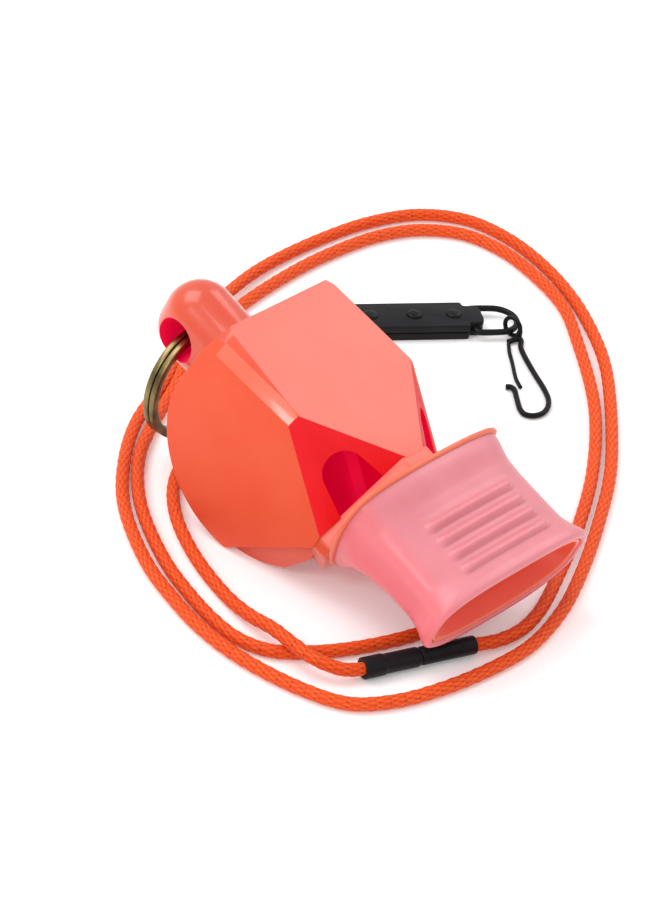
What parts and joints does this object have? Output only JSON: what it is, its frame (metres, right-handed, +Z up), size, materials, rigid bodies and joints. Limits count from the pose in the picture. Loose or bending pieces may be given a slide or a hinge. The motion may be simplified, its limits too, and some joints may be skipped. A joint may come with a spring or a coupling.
{
  "type": "training whistle",
  "caption": "Pealess training whistle with arched sound windows, rubber mouth grip, lug and split ring, lying on its braided breakaway lanyard with tab, flip ring and wire hook.",
  "frame": {"origin": "middle of the whistle's footprint on the ground, its lanyard left out", "axes": "+X along the whistle towards its mouth, +Y to the far side, +Z up"},
  "size_m": [0.0721, 0.0925, 0.0256],
  "materials": {
    "housing": "glossy, light salmon to orange",
    "cover": "glossy, deep orange",
    "grip": "soft satin, slightly clear",
    "ring": "dull, dark",
    "cord": "braided",
    "connector": "satin black",
    "tab": "satin black",
    "rivet": "black",
    "black_wire": "black"
  },
  "bodies": {
    "lanyard": {"cord_long": "cord", "cord_short": "cord", "breakaway_socket": "connector", "tab_upper_shell": "tab", "tab_lower_shell": "tab", "tab_rivets": "rivet"},
    "whistle": {"body_core": "housing", "left_cover": "cover", "right_cover": "cover", "mouth_grip": "grip"},
    "ring": {"split_ring": "ring"},
    "plug": {"breakaway_plug": "connector"},
    "flip_ring": {"tab_ring": "black_wire"},
    "hook": {"hook_bow": "black_wire"},
    "gate": {"hook_gate": "black_wire"}
  },
  "joints": [
    {"name": "whistle_lift", "type": "slide", "parent": "lanyard", "child": "whistle", "axis": [0, 0, 1], "range_m": [0, 0.04]},
    {"name": "ring_swing", "type": "hinge", "parent": "whistle", "child": "ring", "pos_m": [-0.02185, 0, 0.01655], "axis": [0, 1, 0], "range_deg": [-28, 150]},
    {"name": "breakaway_pull", "type": "slide", "parent": "lanyard", "child": "plug", "axis": [0.3567, 0.9342, 0], "range_m": [0, 0.0025]},
    {"name": "flip_ring_swing", "type": "hinge", "parent": "lanyard", "child": "flip_ring", "pos_m": [-0.0182, 0.04752, 0.001], "axis": [0.8131, -0.5821, 0], "range_deg": [0, 100]},
    {"name": "hook_swing", "type": "hinge", "parent": "flip_ring", "child": "hook", "pos_m": [-0.01381, 0.04999, 0.001], "axis": [0.0105, -0.9999, 0], "range_deg": [0, 100]},
    {"name": "gate_flex", "type": "hinge", "parent": "hook", "child": "gate", "pos_m": [-0.0129, 0.04825, 0.0004], "axis": [0, 0, 1], "range_deg": [0, 10], "stiffness_Nm_per_rad": 0.02}
  ]
}
